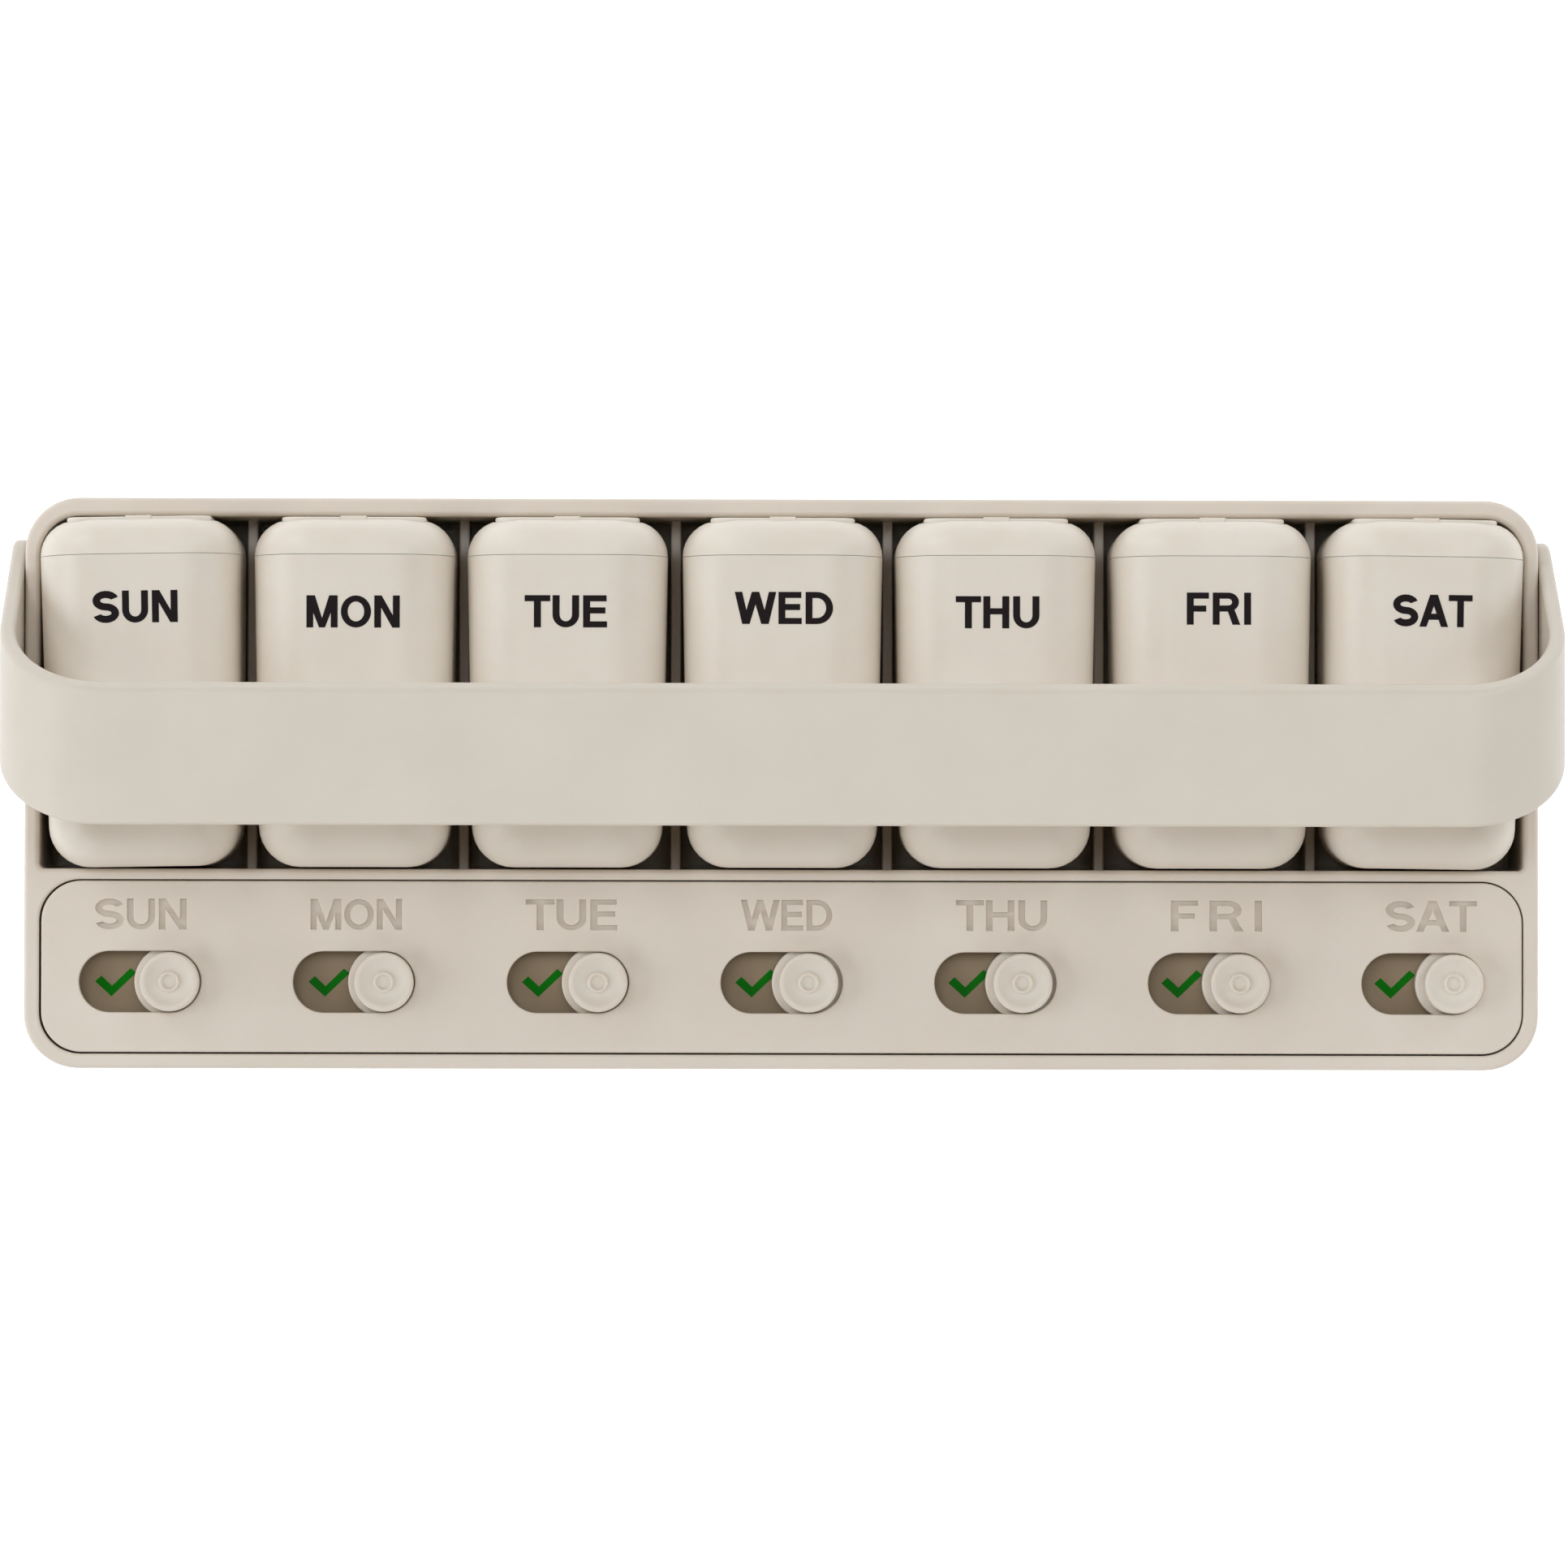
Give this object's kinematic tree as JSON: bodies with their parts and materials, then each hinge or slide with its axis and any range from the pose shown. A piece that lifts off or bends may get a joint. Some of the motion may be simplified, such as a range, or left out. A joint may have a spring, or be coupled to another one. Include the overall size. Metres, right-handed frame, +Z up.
{
  "type": "weekly pill organizer",
  "caption": "Flat tray of lift-out day pods with flip doors, a tracker panel of sliding buttons, and a folding bail handle.",
  "frame": {"origin": "middle of the tray's underside, on the table", "axes": "+X along the week from the first day to the last, +Y to the pods' cap end, +Z up from the table"},
  "size_m": [0.245, 0.0904, 0.0563],
  "materials": {
    "tray": "moulded satin",
    "tick_plate": "moulded satin",
    "tracker_panel": "moulded satin",
    "handle": "moulded satin",
    "button": "moulded satin",
    "pod_body": "moulded satin",
    "pod_cap": "moulded satin",
    "pod_door": "moulded satin"
  },
  "bodies": {
    "tray": {"tray": "tray", "tick_plate": "tick_plate", "tracker_panel": "tracker_panel"},
    "handle": {"handle": "handle"},
    "button_sun": {"button_sun": "button"},
    "button_mon": {"button_mon": "button"},
    "button_tue": {"button_tue": "button"},
    "button_wed": {"button_wed": "button"},
    "button_thu": {"button_thu": "button"},
    "button_fri": {"button_fri": "button"},
    "button_sat": {"button_sat": "button"},
    "pod_sun": {"pod_body_sun": "pod_body", "pod_cap_sun": "pod_cap", "pod_door_sun": "pod_door"},
    "pod_mon": {"pod_body_mon": "pod_body", "pod_cap_mon": "pod_cap", "pod_door_mon": "pod_door"},
    "pod_tue": {"pod_body_tue": "pod_body", "pod_cap_tue": "pod_cap", "pod_door_tue": "pod_door"},
    "pod_wed": {"pod_body_wed": "pod_body", "pod_cap_wed": "pod_cap", "pod_door_wed": "pod_door"},
    "pod_thu": {"pod_body_thu": "pod_body", "pod_cap_thu": "pod_cap", "pod_door_thu": "pod_door"},
    "pod_fri": {"pod_body_fri": "pod_body", "pod_cap_fri": "pod_cap", "pod_door_fri": "pod_door"},
    "pod_sat": {"pod_body_sat": "pod_body", "pod_cap_sat": "pod_cap", "pod_door_sat": "pod_door"}
  },
  "joints": [
    {"name": "handle_hinge", "type": "hinge", "parent": "tray", "child": "handle", "pos_m": [0, 0.03008, 0.0156], "axis": [-1, 0, 0], "range_deg": [-28, 132]},
    {"name": "button_sun_slide", "type": "slide", "parent": "tray", "child": "button_sun", "axis": [-1, 0, 0], "range_m": [0, 0.0096]},
    {"name": "button_mon_slide", "type": "slide", "parent": "tray", "child": "button_mon", "axis": [-1, 0, 0], "range_m": [0, 0.0096]},
    {"name": "button_tue_slide", "type": "slide", "parent": "tray", "child": "button_tue", "axis": [-1, 0, 0], "range_m": [0, 0.0096]},
    {"name": "button_wed_slide", "type": "slide", "parent": "tray", "child": "button_wed", "axis": [-1, 0, 0], "range_m": [-0.00055, 0.00905]},
    {"name": "button_thu_slide", "type": "slide", "parent": "tray", "child": "button_thu", "axis": [-1, 0, 0], "range_m": [-0.00055, 0.00905]},
    {"name": "button_fri_slide", "type": "slide", "parent": "tray", "child": "button_fri", "axis": [-1, 0, 0], "range_m": [0, 0.0096]},
    {"name": "button_sat_slide", "type": "slide", "parent": "tray", "child": "button_sat", "axis": [-1, 0, 0], "range_m": [0, 0.0096]},
    {"name": "pod_sun_lift", "type": "slide", "parent": "tray", "child": "pod_sun", "axis": [0, 0, 1], "range_m": [0, 0.0135]},
    {"name": "pod_mon_lift", "type": "slide", "parent": "tray", "child": "pod_mon", "axis": [0, 0, 1], "range_m": [0, 0.0135]},
    {"name": "pod_tue_lift", "type": "slide", "parent": "tray", "child": "pod_tue", "axis": [0, 0, 1], "range_m": [0, 0.0135]},
    {"name": "pod_wed_lift", "type": "slide", "parent": "tray", "child": "pod_wed", "axis": [0, 0, 1], "range_m": [0, 0.0135]},
    {"name": "pod_thu_lift", "type": "slide", "parent": "tray", "child": "pod_thu", "axis": [0, 0, 1], "range_m": [0, 0.0135]},
    {"name": "pod_fri_lift", "type": "slide", "parent": "tray", "child": "pod_fri", "axis": [0, 0, 1], "range_m": [0, 0.0135]},
    {"name": "pod_sat_lift", "type": "slide", "parent": "tray", "child": "pod_sat", "axis": [0, 0, 1], "range_m": [0, 0.0135]}
  ]
}
